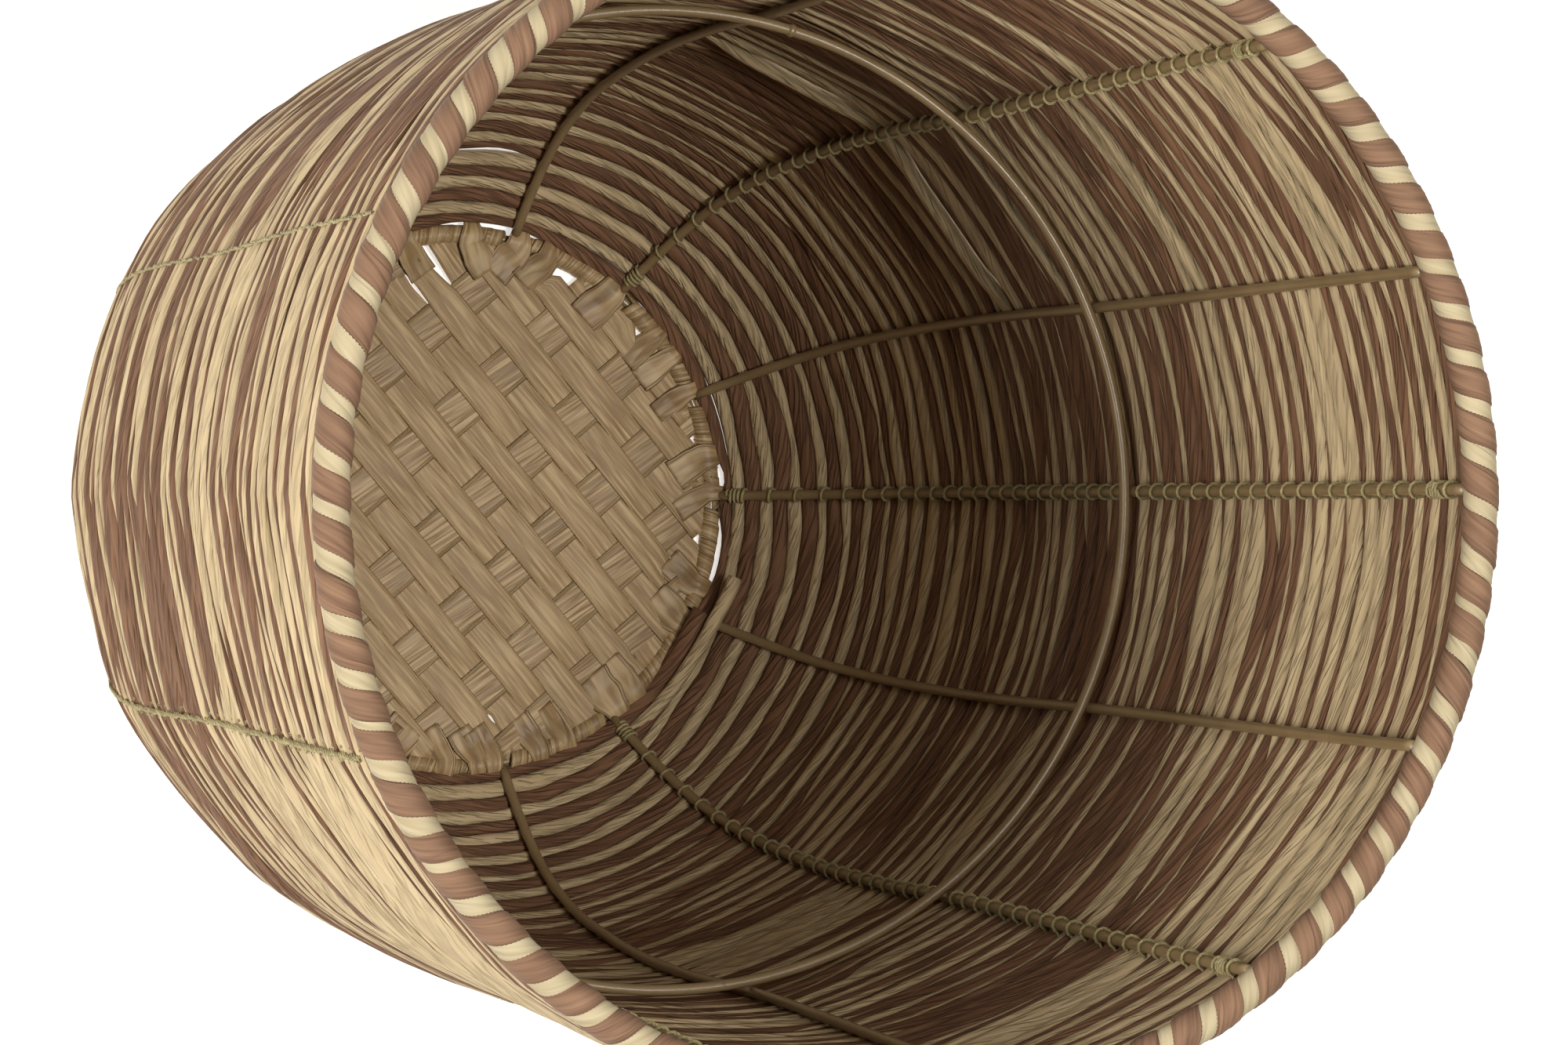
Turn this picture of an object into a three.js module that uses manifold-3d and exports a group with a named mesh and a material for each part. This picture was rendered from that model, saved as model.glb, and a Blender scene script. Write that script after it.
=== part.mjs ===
// A round planter basket: a welded frame of bent rods, a floor of woven strips, a wall of
// two fibre strands wound round the frame, and a rim wrapped with the same two strands.
// Millimetres, +Z up. The origin is the centre of the footprint, on the surface it stands on.
import * as THREE from "three";
import Module from "manifold-3d";
import { mergeVertices } from "three/addons/utils/BufferGeometryUtils.js";

const wasm = await Module();
wasm.setup();

const DEG = Math.PI / 180;

// Frame: every rod has the same section.
const ROD_D = 4;
const ROD_SIDES = 6;
const BASE_RING_R = 108.5;
const RIB_COUNT = 14;
const RIB_LENGTH = 568;
// A rib's side view: the slope in degrees at a distance along the rib from its foot.
const RIB_SLOPES = [
  [0, 27.5],
  [37, 46.4],
  [73, 68.7],
  [110, 80.2],
  [146, 83],
  [194, 87],
  [267, 90.6],
  [362, 87.8],
  [458, 87.8],
  [564, 89.6],
];
// The ribs are set by hand, so each stands a little off its even place, in degrees.
const RIB_TRIM = [2.1, -1.4, 0.8, 1.5, 0, 0, 0.2, 0, -0.7, 0, 0, -2.0, -1.1, 1.6];
const RIB_SEAT = 0.95; // height of the rib's axis over the ring's, square to the rib
const HOOP_ALONG = 307; // distance along the ribs of the hoop inside them
const TOP_RING_OUT = 3.4; // the top ring lies this far outside the ribs' upper ends

// Wall: one ridge is one pair of strands, cream over brown.
const STRAND_D = 5.5;
const PAIR_PITCH = 11.9;
const STRAND_RELIEF = 1.3;
const WALL_START = 4; // distance along the ribs of the first strand's lower edge
const WALL_SIDES = 28; // the strands run straight from rib to rib and half way between
// The winding is one length of work; it is laid out here as a foot band and a belly band of
// so many rows, and an upper band with the rest.
const FOOT_ROWS = 5;
const BELLY_ROWS = 8;

// Rim and foot: strands wound round a ring.
const RIM_WRAP_R = 5.8;
const RIM_RELIEF = 0.6;
const RIM_RIDGES = 42;
const RIM_LEAD = 16.5; // advance of the wrap in one turn round the ring
const BINDING_R = 3.6;
const BINDING_RELIEF = 0.35;
const BINDING_RIDGES = 21;
const BINDING_LEAD = 3;
const FOOT_CUT = 0.5; // the binding is pressed flat by this much where it stands

// Floor: close-set strips one way, spaced strips across them.
const STRIP_T = 0.8;
const WARP_W = 12.2;
const WARP_PITCH = 12.6;
const WARP_SHIFT = -2;
const WARP_ANGLE = -49;
const WEFT_W = 16.5;
const WEFT_PITCH = 30.5;
const WEFT_SHIFT = 3;
const FLOOR_LIFT = 0.5; // height of the floor's middle plane over the base ring's

const THREAD_D = 1.4;
const THREAD_STEPS = 14;

// Clearances.
const JOINT_GAP = 0.3; // between pieces that touch
const CURVE_SAG = 0.5; // what a straight step cuts off the wall's curve
const EDGE_TURN = 0.08; // radians from a rod's edge to a sleeve's edge, seen from the ring
const FLAT_SHARE = 0.9; // of the cut that the hollows between the binding's ridges also reach

const RIB_STEPS = 14;
const RING_SIDES = 42;

// Sizes that follow.
const ROD_R = ROD_D / 2;
const TOUCH = ROD_R + JOINT_GAP;
const RING_Z = BINDING_R - FOOT_CUT;
const WALL_OUT = TOUCH + STRAND_D; // the wall's outer face, outside the ribs' centre line

const materials = {
  rod: new THREE.MeshStandardMaterial({ color: 0x64553a, roughness: 0.45, metalness: 0.3 }),
  wall: new THREE.MeshStandardMaterial({ color: 0xb89c74, roughness: 0.85, metalness: 0 }),
  rim: new THREE.MeshStandardMaterial({ color: 0xd8c59b, roughness: 0.8, metalness: 0 }),
  strip: new THREE.MeshStandardMaterial({ color: 0xa8875a, roughness: 0.7, metalness: 0 }),
  thread: new THREE.MeshStandardMaterial({ color: 0x6e6240, roughness: 0.9, metalness: 0 }),
};

const planter = new THREE.Group();

function addMesh(name, geometry, material, angle = 0) {
  const mesh = new THREE.Mesh(geometry, material);
  mesh.name = name;
  mesh.rotation.z = angle;
  planter.add(mesh);
}

// The ribs' side view

function slopeAt(s) {
  let i = 0;
  while (i < RIB_SLOPES.length - 2 && s > RIB_SLOPES[i + 1][0]) i++;
  const [s0, a0] = RIB_SLOPES[i];
  const [s1, a1] = RIB_SLOPES[i + 1];
  const t = THREE.MathUtils.clamp((s - s0) / (s1 - s0), 0, 1);
  return (a0 + (a1 - a0) * t) * DEG;
}

// The rib's foot butts on the base ring's upper outer side.
function ribFoot() {
  const a = slopeAt(0);
  return new THREE.Vector2(
    BASE_RING_R + TOUCH * Math.cos(a) - RIB_SEAT * Math.sin(a),
    RING_Z + TOUCH * Math.sin(a) + RIB_SEAT * Math.cos(a),
  );
}

// The slopes summed up into points (radius, height), one for each millimetre.
function ribTable() {
  const points = [ribFoot()];
  for (let s = 0; s < RIB_LENGTH + 1; s++) {
    const a = slopeAt(s + 0.5);
    const last = points[points.length - 1];
    points.push(new THREE.Vector2(last.x + Math.cos(a), last.y + Math.sin(a)));
  }
  return points;
}

const table = ribTable();

// The point at distance s along the rib, moved out by the offset, square to the rib.
function sidePoint(s, offset = 0) {
  const i = Math.min(Math.floor(s), table.length - 2);
  const a = slopeAt(s);
  const point = table[i].clone().lerp(table[i + 1], s - i);
  return point.add(new THREE.Vector2(Math.sin(a) * offset, -Math.cos(a) * offset));
}

// The distance along the rib at which its centre line reaches a height.
function alongAtHeight(z) {
  const i = table.findIndex((p) => p.y >= z);
  return i - (table[i].y - z) / (table[i].y - table[i - 1].y);
}

// Stations crowd towards the foot, where the rib bends.
function stationAlong(t) {
  return RIB_LENGTH * (0.35 * t + 0.65 * t * t);
}

// A line that follows the ribs' side view at an offset, in the XZ plane.
class SideLine extends THREE.Curve {
  constructor(alongAt, offsetAt) {
    super();
    this.alongAt = alongAt;
    this.offsetAt = offsetAt;
  }

  getPoint(t, target = new THREE.Vector3()) {
    const s = this.alongAt(t);
    const p = sidePoint(s, this.offsetAt(s));
    return target.set(p.x, 0, p.y);
  }

  getUtoTmapping(u) {
    return u;
  }
}

function polygon(radius, sides) {
  const shape = new THREE.Shape();
  for (let i = 0; i < sides; i++) {
    const a = Math.PI / 2 + (2 * Math.PI * i) / sides;
    const x = radius * Math.cos(a);
    const y = radius * Math.sin(a);
    if (i === 0) shape.moveTo(x, y);
    else shape.lineTo(x, y);
  }
  shape.closePath();
  return shape;
}

function ribAngle(k) {
  return ((360 / RIB_COUNT) * k + (RIB_TRIM[k] || 0)) * DEG;
}

// The rod frame

function ribGeometry() {
  return new THREE.ExtrudeGeometry(polygon(ROD_R, ROD_SIDES), {
    extrudePath: new SideLine(stationAlong, () => 0),
    steps: RIB_STEPS,
    bevelEnabled: false,
  });
}

function ringGeometry(radius, height, segments) {
  const geometry = new THREE.TorusGeometry(radius, ROD_R, ROD_SIDES, segments);
  geometry.translate(0, 0, height);
  return geometry;
}

// The top ring touches the outer edge of the ribs' upper ends.
function topRingCentre() {
  const end = sidePoint(RIB_LENGTH);
  const side = TOP_RING_OUT - ROD_R;
  return new THREE.Vector2(end.x + TOP_RING_OUT, end.y + Math.sqrt(TOUCH * TOUCH - side * side));
}

const rim = topRingCentre();

// Strands wound round a ring

function evenly(from, to, steps) {
  return Array.from({ length: steps + 1 }, (_, i) => from + ((to - from) * i) / steps);
}

// A section is a ring's sleeve, left open below the first and past the last of its outer
// angles, where the ribs come in.
function sleeveSection(bore, wall, outerAngles, innerSteps) {
  const from = outerAngles[0];
  const to = outerAngles[outerAngles.length - 1];
  const outer = outerAngles.map((angle) => ({ angle, radius: wall, outer: true }));
  const round = bore / Math.cos((to - from) / innerSteps / 2); // the flats between stay clear
  const inner = evenly(to, from, innerSteps).map((angle) => ({ angle, radius: round }));
  return [...outer, ...inner];
}

// The section swept round the axis. Every second station is drawn in by the relief, and the
// stations lean by the lead, so the ridges between them run round the ring as a spiral.
function woundSleeve(centre, section, ridges, relief, lead, floor = -Infinity) {
  const stations = ridges * 2;
  const positions = [];
  for (let i = 0; i < stations; i++) {
    for (const { angle, radius, outer } of section) {
      const r = outer && i % 2 ? radius - relief : radius;
      const turn = (2 * Math.PI * i) / stations + (lead * angle) / (2 * Math.PI * centre.x);
      const out = centre.x + r * Math.cos(angle);
      const z = Math.max(centre.y + r * Math.sin(angle), floor);
      positions.push(out * Math.cos(turn), out * Math.sin(turn), z);
    }
  }
  return closedLoft(positions, stations, section.length);
}

// Quads between neighbouring sections, the last joined to the first.
function closedLoft(positions, stations, count) {
  const index = [];
  for (let i = 0; i < stations; i++) {
    const next = (i + 1) % stations;
    for (let j = 0; j < count; j++) {
      const k = (j + 1) % count;
      const a = i * count + j;
      const b = next * count + j;
      const c = next * count + k;
      const d = i * count + k;
      index.push(a, b, c, a, c, d);
    }
  }
  const geometry = new THREE.BufferGeometry();
  geometry.setAttribute("position", new THREE.Float32BufferAttribute(positions, 3));
  geometry.setIndex(index);
  geometry.computeVertexNormals();
  return geometry;
}

// The rim's sleeve is open below and inside, where the ribs' ends reach the ring.
function rimWrap() {
  const bore = TOUCH + rim.x * (1 - Math.cos(Math.PI / RIM_RIDGES));
  const inner = TOP_RING_OUT + TOUCH;
  const outer = TOP_RING_OUT - TOUCH;
  const drop = rim.y - sidePoint(RIB_LENGTH).y - JOINT_GAP;
  const openFrom = Math.PI + Math.atan2(drop, inner) - (1.5 * JOINT_GAP) / RIM_WRAP_R;
  const openTo = Math.PI * 1.5 - Math.asin(Math.min(outer, bore) / RIM_WRAP_R) + EDGE_TURN;
  const angles = evenly(openTo, openFrom + 2 * Math.PI, 7);
  const section = sleeveSection(bore, RIM_WRAP_R, angles, 4);
  return woundSleeve(rim, section, RIM_RIDGES, RIM_RELIEF, RIM_LEAD);
}

// The binding's sleeve is open above and outside, where the ribs' feet reach the ring. Two
// of its outer angles are the edges of the flat that it stands on.
function baseBinding() {
  const slope = slopeAt(0);
  const bore = TOUCH + BASE_RING_R * (1 - Math.cos(Math.PI / RING_SIDES));
  const openTo = slope + Math.acos(ROD_R / BINDING_R) + EDGE_TURN;
  const below = ROD_R - RIB_SEAT + JOINT_GAP;
  const side = Math.max(Math.asin(below / TOUCH), Math.acos(ROD_R / TOUCH));
  const openFrom = slope - side - EDGE_TURN;
  const down = Math.PI * 1.5;
  const half = Math.acos(Math.min(1, RING_Z / (BINDING_R - BINDING_RELIEF))) * FLAT_SHARE;
  const angles = [
    ...evenly(openTo, down - half, 4),
    ...evenly(down + half, openFrom + 2 * Math.PI, 2),
  ];
  const section = sleeveSection(bore, BINDING_R, angles, 4);
  const centre = new THREE.Vector2(BASE_RING_R, RING_Z);
  return woundSleeve(centre, section, BINDING_RIDGES, BINDING_RELIEF, BINDING_LEAD, 0);
}

// The wall

function wallEnd() {
  return alongAtHeight(rim.y - RIM_WRAP_R - JOINT_GAP);
}

// A corner of the wall stands at every rib's even place; a rib beside its place needs the
// corners moved out until the flat between them clears it.
function cornerShare() {
  const half = Math.PI / WALL_SIDES;
  const most = Math.max(...RIB_TRIM.map(Math.abs)) * DEG;
  return Math.cos(half) / Math.cos(half - Math.min(most, half));
}

function lathePoint(s, offset) {
  const p = sidePoint(s, offset);
  return new THREE.Vector2(p.x / cornerShare(), p.y);
}

// Down the inner face at the ribs' own stations, then up the outer face over the ridges.
function bandProfile(start, end, rows) {
  const points = [lathePoint(end, TOUCH)];
  for (let i = RIB_STEPS - 1; i > 0; i--) {
    const s = stationAlong(i / RIB_STEPS);
    if (s > start + ROD_R && s < end - ROD_R) points.push(lathePoint(s, TOUCH));
  }
  points.push(lathePoint(start, TOUCH));
  const pitch = (end - start) / rows;
  for (let i = 0; i < rows; i++) {
    const s = start + i * pitch;
    points.push(lathePoint(s, WALL_OUT - STRAND_RELIEF));
    points.push(lathePoint(s + pitch / 2, WALL_OUT));
  }
  points.push(lathePoint(end, WALL_OUT - STRAND_RELIEF));
  points.push(points[0].clone());
  return points;
}

// The bands share out the rows between the foot and the rim, a joint's gap apart.
function wallBands() {
  const end = wallEnd();
  const rows = Math.round((end - WALL_START) / PAIR_PITCH);
  const pitch = (end - WALL_START) / rows;
  const belly = FOOT_ROWS + BELLY_ROWS;
  const edges = [
    ["foot", 0, FOOT_ROWS],
    ["belly", FOOT_ROWS, belly],
    ["upper", belly, rows],
  ];
  return edges.map(([name, from, to]) => ({
    name,
    start: WALL_START + from * pitch + (from ? JOINT_GAP : 0),
    end: WALL_START + to * pitch,
    rows: to - from,
  }));
}

function bandGeometry({ start, end, rows }) {
  const geometry = new THREE.LatheGeometry(bandProfile(start, end, rows), WALL_SIDES);
  geometry.rotateX(Math.PI / 2);
  geometry.rotateZ(Math.PI / 2);
  return geometry;
}

// A thread lies on the ridges outside a rib. The wall's flats fall off beside its corners.
function threadGeometry(k) {
  const half = Math.PI / WALL_SIDES;
  const away = Math.abs(RIB_TRIM[k] || 0) * DEG;
  const share = Math.cos(half) / Math.cos(half - away) / cornerShare();
  const end = wallEnd();
  const start = WALL_START + PAIR_PITCH / 2;
  const lift = WALL_OUT + JOINT_GAP + CURVE_SAG + THREAD_D / 2;
  const line = new SideLine(
    (t) => start + (end - start) * (0.35 * t + 0.65 * t * t),
    (s) => lift + sidePoint(s).x * (share - 1),
  );
  return new THREE.ExtrudeGeometry(polygon(THREAD_D / 2, 3), {
    extrudePath: line,
    steps: THREAD_STEPS,
    bevelEnabled: false,
  });
}

// The floor

const FLOOR_R = BASE_RING_R - BINDING_R - JOINT_GAP;
const FLOOR_Z = RING_Z + FLOOR_LIFT;
const WAVE = STRIP_T + JOINT_GAP;

function placesAcross(pitch, width, shift) {
  const places = [];
  const most = Math.ceil(FLOOR_R / pitch) + 1;
  for (let i = -most; i <= most; i++) {
    const place = i * pitch + shift;
    if (Math.abs(place) + width / 4 < FLOOR_R) places.push(place);
  }
  return places;
}

const warpPlaces = placesAcross(WARP_PITCH, WARP_W, WARP_SHIFT);
const weftPlaces = placesAcross(WEFT_PITCH, WEFT_W, WEFT_SHIFT);

// A warp strip's middle line: level over or under each crossing strip, sloping in between.
// It starts and ends well outside the floor's circle, which trims it.
function warpLine(row) {
  const flat = WEFT_W / 2 + 1;
  const side = (j) => ((row + j) % 2 ? -WAVE : WAVE);
  const line = [[-FLOOR_R - WEFT_W, side(0)]];
  weftPlaces.forEach((place, j) => {
    line.push([place - flat, side(j)]);
    line.push([place + flat, side(j)]);
  });
  line.push([FLOOR_R + WEFT_W, side(weftPlaces.length - 1)]);
  return line;
}

function stripShape(line) {
  const shape = new THREE.Shape();
  line.forEach(([x, z], i) => {
    if (i === 0) shape.moveTo(x, z - STRIP_T / 2);
    else shape.lineTo(x, z - STRIP_T / 2);
  });
  for (const [x, z] of [...line].reverse()) shape.lineTo(x, z + STRIP_T / 2);
  shape.closePath();
  return shape;
}

// The side view is drawn in XZ and pushed across by the strip's width.
function stripGeometry(line, width, place, angle) {
  const geometry = new THREE.ExtrudeGeometry(stripShape(line), {
    depth: width,
    bevelEnabled: false,
  });
  geometry.translate(0, 0, -width / 2);
  geometry.rotateX(Math.PI / 2);
  geometry.translate(0, place, FLOOR_Z);
  geometry.rotateZ(angle);
  return geometry;
}

function solidOf(geometry) {
  const plain = new THREE.BufferGeometry();
  const loose = geometry.index ? geometry.toNonIndexed() : geometry;
  plain.setAttribute("position", loose.getAttribute("position"));
  const merged = mergeVertices(plain, 1e-4);
  return new wasm.Manifold(
    new wasm.Mesh({
      numProp: 3,
      vertProperties: merged.attributes.position.array,
      triVerts: new Uint32Array(merged.index.array),
    }),
  );
}

function geometryOf(solid) {
  const mesh = solid.getMesh();
  const geometry = new THREE.BufferGeometry();
  geometry.setAttribute("position", new THREE.BufferAttribute(mesh.vertProperties, 3));
  geometry.setIndex(new THREE.BufferAttribute(mesh.triVerts, 1));
  geometry.computeVertexNormals();
  return geometry;
}

// The strips end on the circle inside the binding.
function floorDisc() {
  const geometry = new THREE.CylinderGeometry(FLOOR_R, FLOOR_R, 10 * STRIP_T, RING_SIDES);
  geometry.rotateX(Math.PI / 2);
  geometry.translate(0, 0, FLOOR_Z);
  return solidOf(geometry);
}

// Assembly

function addFrame() {
  addMesh("base_ring", ringGeometry(BASE_RING_R, RING_Z, RING_SIDES), materials.rod);
  for (let k = 0; k < RIB_COUNT; k++) {
    const number = String(k + 1).padStart(2, "0");
    addMesh(`rib_${number}`, ribGeometry(), materials.rod, ribAngle(k));
  }
  const hoop = sidePoint(HOOP_ALONG, -ROD_D - JOINT_GAP);
  addMesh("mid_hoop", ringGeometry(hoop.x, hoop.y, RING_SIDES), materials.rod);
  addMesh("top_ring", ringGeometry(rim.x, rim.y, RIM_RIDGES), materials.rod);
}

function addFloor() {
  const disc = floorDisc();
  warpPlaces.forEach((place, i) => {
    const strip = solidOf(stripGeometry(warpLine(i), WARP_W, place, WARP_ANGLE * DEG));
    const number = String(i + 1).padStart(2, "0");
    addMesh(`floor_warp_${number}`, geometryOf(strip.intersect(disc)), materials.strip);
  });
  weftPlaces.forEach((place, i) => {
    const line = [
      [-FLOOR_R - WEFT_W, 0],
      [FLOOR_R + WEFT_W, 0],
    ];
    const angle = (WARP_ANGLE + 90) * DEG;
    const strip = solidOf(stripGeometry(line, WEFT_W, -place, angle));
    addMesh(`floor_weft_${i + 1}`, geometryOf(strip.intersect(disc)), materials.strip);
  });
  addMesh("base_binding", baseBinding(), materials.strip);
}

function addWinding() {
  for (const band of wallBands()) {
    addMesh(`wall_winding_${band.name}`, bandGeometry(band), materials.wall);
  }
  addMesh("rim_wrap", rimWrap(), materials.rim);
  for (let k = 0; k < RIB_COUNT; k += 2) {
    const name = `lashing_${String(k + 1).padStart(2, "0")}`;
    addMesh(name, threadGeometry(k), materials.thread, ribAngle(k));
  }
}

addFrame();
addFloor();
addWinding();

export default planter;
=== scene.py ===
# %% [markdown]
# A woven planter, dressed round its frame
#
# The basket is a welded cage of iron rods with two fibre strands wound round it. Everything
# here sits where the packed frame says, so the first cell loads the frame.
# All lengths are worked out in millimetres and turned to metres when a mesh is made.

import math

import bmesh
import bpy
import numpy as np
from mathutils import Matrix, Vector


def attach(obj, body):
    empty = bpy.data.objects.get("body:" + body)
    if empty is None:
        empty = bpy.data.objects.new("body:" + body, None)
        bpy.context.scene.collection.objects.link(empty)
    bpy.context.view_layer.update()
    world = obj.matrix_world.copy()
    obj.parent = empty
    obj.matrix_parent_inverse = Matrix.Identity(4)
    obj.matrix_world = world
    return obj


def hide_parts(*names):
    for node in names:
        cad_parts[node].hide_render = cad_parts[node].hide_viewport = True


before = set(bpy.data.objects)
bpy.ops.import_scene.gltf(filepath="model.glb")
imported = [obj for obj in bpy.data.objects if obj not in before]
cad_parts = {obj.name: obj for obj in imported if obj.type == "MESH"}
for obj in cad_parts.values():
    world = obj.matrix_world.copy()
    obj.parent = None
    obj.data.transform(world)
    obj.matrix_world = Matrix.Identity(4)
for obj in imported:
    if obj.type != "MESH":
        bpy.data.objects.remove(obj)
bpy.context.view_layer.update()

# %% [markdown]
# The camera
#
# The picture looks steeply down into the open mouth, a little from the left. Angles would
# turn the camera as well, but its right, up and backward directions are easier to check
# against the basket, so they become the columns of its matrix.

# %% Camera
CAMERA_PLACE = Vector((-0.59533, -0.01319, 2.15537))  # metres
LENS, SENSOR = 125.68, 36  # mm

camera = bpy.data.objects.new("camera", bpy.data.cameras.new("camera"))
bpy.context.scene.collection.objects.link(camera)
right = Vector((0.94601, 0.017742, 0.323652)).normalized()
back = Vector((-0.323651, -0.003022, 0.946172)).normalized()
up = back.cross(right).normalized()
right = up.cross(back)
turned = Matrix((right, up, back)).transposed()
camera.matrix_world = Matrix.LocRotScale(CAMERA_PLACE, turned, None)
camera.data.lens, camera.data.sensor_width = LENS, SENSOR
camera.data.clip_start, camera.data.clip_end = 0.05, 30
bpy.context.scene.camera = camera
print("camera", camera.location[:], "lens", camera.data.lens)

# %% [markdown]
# Floor and light
#
# A pale floor that glows a little reads as a white studio sweep, and it shows white through
# the gaps in the weave. Area lamps are used, because a sun or a point lamp would draw hard
# shadows between the strands. One large lamp stands low on the left, so that only the upper
# part of the wall across from it is lit and the belly falls into shade. A smaller one above,
# on the right, reaches the basket's own floor over the rim and leaves the wall under it
# dark. A weak one on the far side lifts the near wall's foot a little.

# %% Lamps
WARM = (1, 0.965, 0.92)


def lamp(name, place, target, wide, tall, power):
    """A rectangle lamp at place, turned towards target. Sizes in metres, power in watts."""
    data = bpy.data.lights.new(name, "AREA")
    data.shape, data.size, data.size_y = "RECTANGLE", wide, tall
    data.energy, data.color = power, WARM
    made = bpy.data.objects.new(name, data)
    bpy.context.scene.collection.objects.link(made)
    made.location = place
    aim = Vector(target) - Vector(place)
    made.rotation_euler = aim.to_track_quat("-Z", "Y").to_euler()


lamp("key", (-1.55, -0.45, 1.55), (0.05, 0.02, 0.4), 1.5, 0.95, 34)
lamp("above", (0.4, -0.14, 2.75), (0, 0, 0.1), 0.45, 0.45, 38)
lamp("beside", (-0.1, 0.55, 2.6), (0, -0.1, 0.1), 0.5, 0.5, 7)
print([(data.name, data.energy) for data in bpy.data.lights], "watts")

# %% [markdown]
# A little light comes from all round, as off a studio's walls, so that no shade is black.
# The floor is one big square, no part of the basket.

# %% Studio and floor
FLOOR_REACH = 6  # metres from the middle to the edge

world = bpy.data.worlds.new("studio")
world.use_nodes = True
world.node_tree.nodes["Background"].inputs["Color"].default_value = (1, 0.985, 0.96, 1)
world.node_tree.nodes["Background"].inputs["Strength"].default_value = 0.2
bpy.context.scene.world = world
bpy.context.scene.view_settings.view_transform = "Standard"

bm = bmesh.new()
bmesh.ops.create_grid(bm, x_segments=2, y_segments=2, size=FLOOR_REACH)
floor_mesh = bpy.data.meshes.new("floor")
bm.to_mesh(floor_mesh)
bm.free()
floor = bpy.data.objects.new("floor", floor_mesh)
bpy.context.scene.collection.objects.link(floor)
print("floor reaches", max(v.co.x for v in floor_mesh.vertices), "m from the middle")

# %% [markdown]
# A small language for materials
#
# A material is a tree of nodes. Written out one by one they hide what the finish is, so a
# small class wraps a socket and lets plain arithmetic add the Math nodes.

# %% Sockets that take part in sums
class Value:
    """A socket that takes part in sums."""

    def __init__(self, finish, socket):
        self.finish, self.socket = finish, socket

    def math(self, operation, *others):
        values = dict(enumerate((self, *others)))
        return self.finish.node("Math", {"operation": operation}, values)

    def __add__(self, other):
        return self.math("ADD", other)

    def __sub__(self, other):
        return self.math("SUBTRACT", other)

    def __rsub__(self, other):
        return self.math("MULTIPLY_ADD", -1.0, other)

    def __mul__(self, other):
        return self.math("MULTIPLY", other)

    def __pow__(self, other):
        return self.math("POWER", other)

    __radd__, __rmul__ = __add__, __mul__


print("a Value takes +, -, * and **")

# %% [markdown]
# A finish is a material with its shader. One method adds any node: its settings are set
# first, as they decide which sockets there are. What is the same all over the surface is
# set on the shader's own sockets, and what changes over it is fed to them.

# %% A finish
class Finish:
    """A new material. Keywords set its shader's own sockets, with _ for a space."""

    def __init__(self, name, **sockets):
        self.material = bpy.data.materials.new(name)
        self.material.use_nodes = True
        self.tree = self.material.node_tree
        self.shader = self.tree.nodes["Principled BSDF"]
        for key, value in sockets.items():
            self.shader.inputs[key.replace("_", " ")].default_value = value

    def node(self, kind, settings, values, out=0):
        """Adds a node: its type, its settings, and a number or a Value for each socket."""
        made = self.tree.nodes.new("ShaderNode" + kind)
        for key, value in settings.items():
            setattr(made, key, value)
        for key, value in values.items():
            if isinstance(value, Value):
                self.tree.links.new(value.socket, made.inputs[key])
            else:
                made.inputs[key].default_value = value
        return Value(self, made.outputs[out])

    def mix(self, factor, a, b):
        return self.node("Mix", {"data_type": "RGBA"}, {0: factor, 6: a, 7: b}, 2)

    def noise(self, x, y, z, detail, rough):
        at = self.node("CombineXYZ", {}, {0: x, 1: y, 2: z})
        values = {"Vector": at, "Scale": 1.0, "Detail": detail, "Roughness": rough}
        return self.node("TexNoise", {}, values)

    def uv_mm(self, girth):
        """The piece's UV map in mm: along it, and round it where it is girth mm round."""
        uv = self.node("UVMap", {"uv_map": "UVMap"}, {})
        along = self.node("SeparateXYZ", {}, {0: uv}, 0) * 1000.0
        around = self.node("SeparateXYZ", {}, {0: uv}, 1) * girth
        return along, around

    def feed(self, socket, value):
        self.tree.links.new(value.socket, self.shader.inputs[socket])

    def bump(self, height, distance):
        values = {"Strength": 1.0, "Distance": distance, "Height": height}
        self.feed("Normal", self.node("Bump", {}, values))


print("methods:", [name for name in vars(Finish) if not name.startswith("_")])

# %% [markdown]
# Colours are written as on a screen, from 0 to 255, but light is added up in linear
# numbers, so each is turned into those.

# %% Colours
def tint(red, green, blue):
    """A colour from 0 to 255 as the shader's linear numbers."""
    linear = [c / 12.92 if c <= 0.04045 else ((c + 0.055) / 1.055) ** 2.4
              for c in (red / 255, green / 255, blue / 255)]
    return (*linear, 1.0)


print("middle grey is", round(tint(128, 128, 128)[0], 3), "in linear light")
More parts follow.
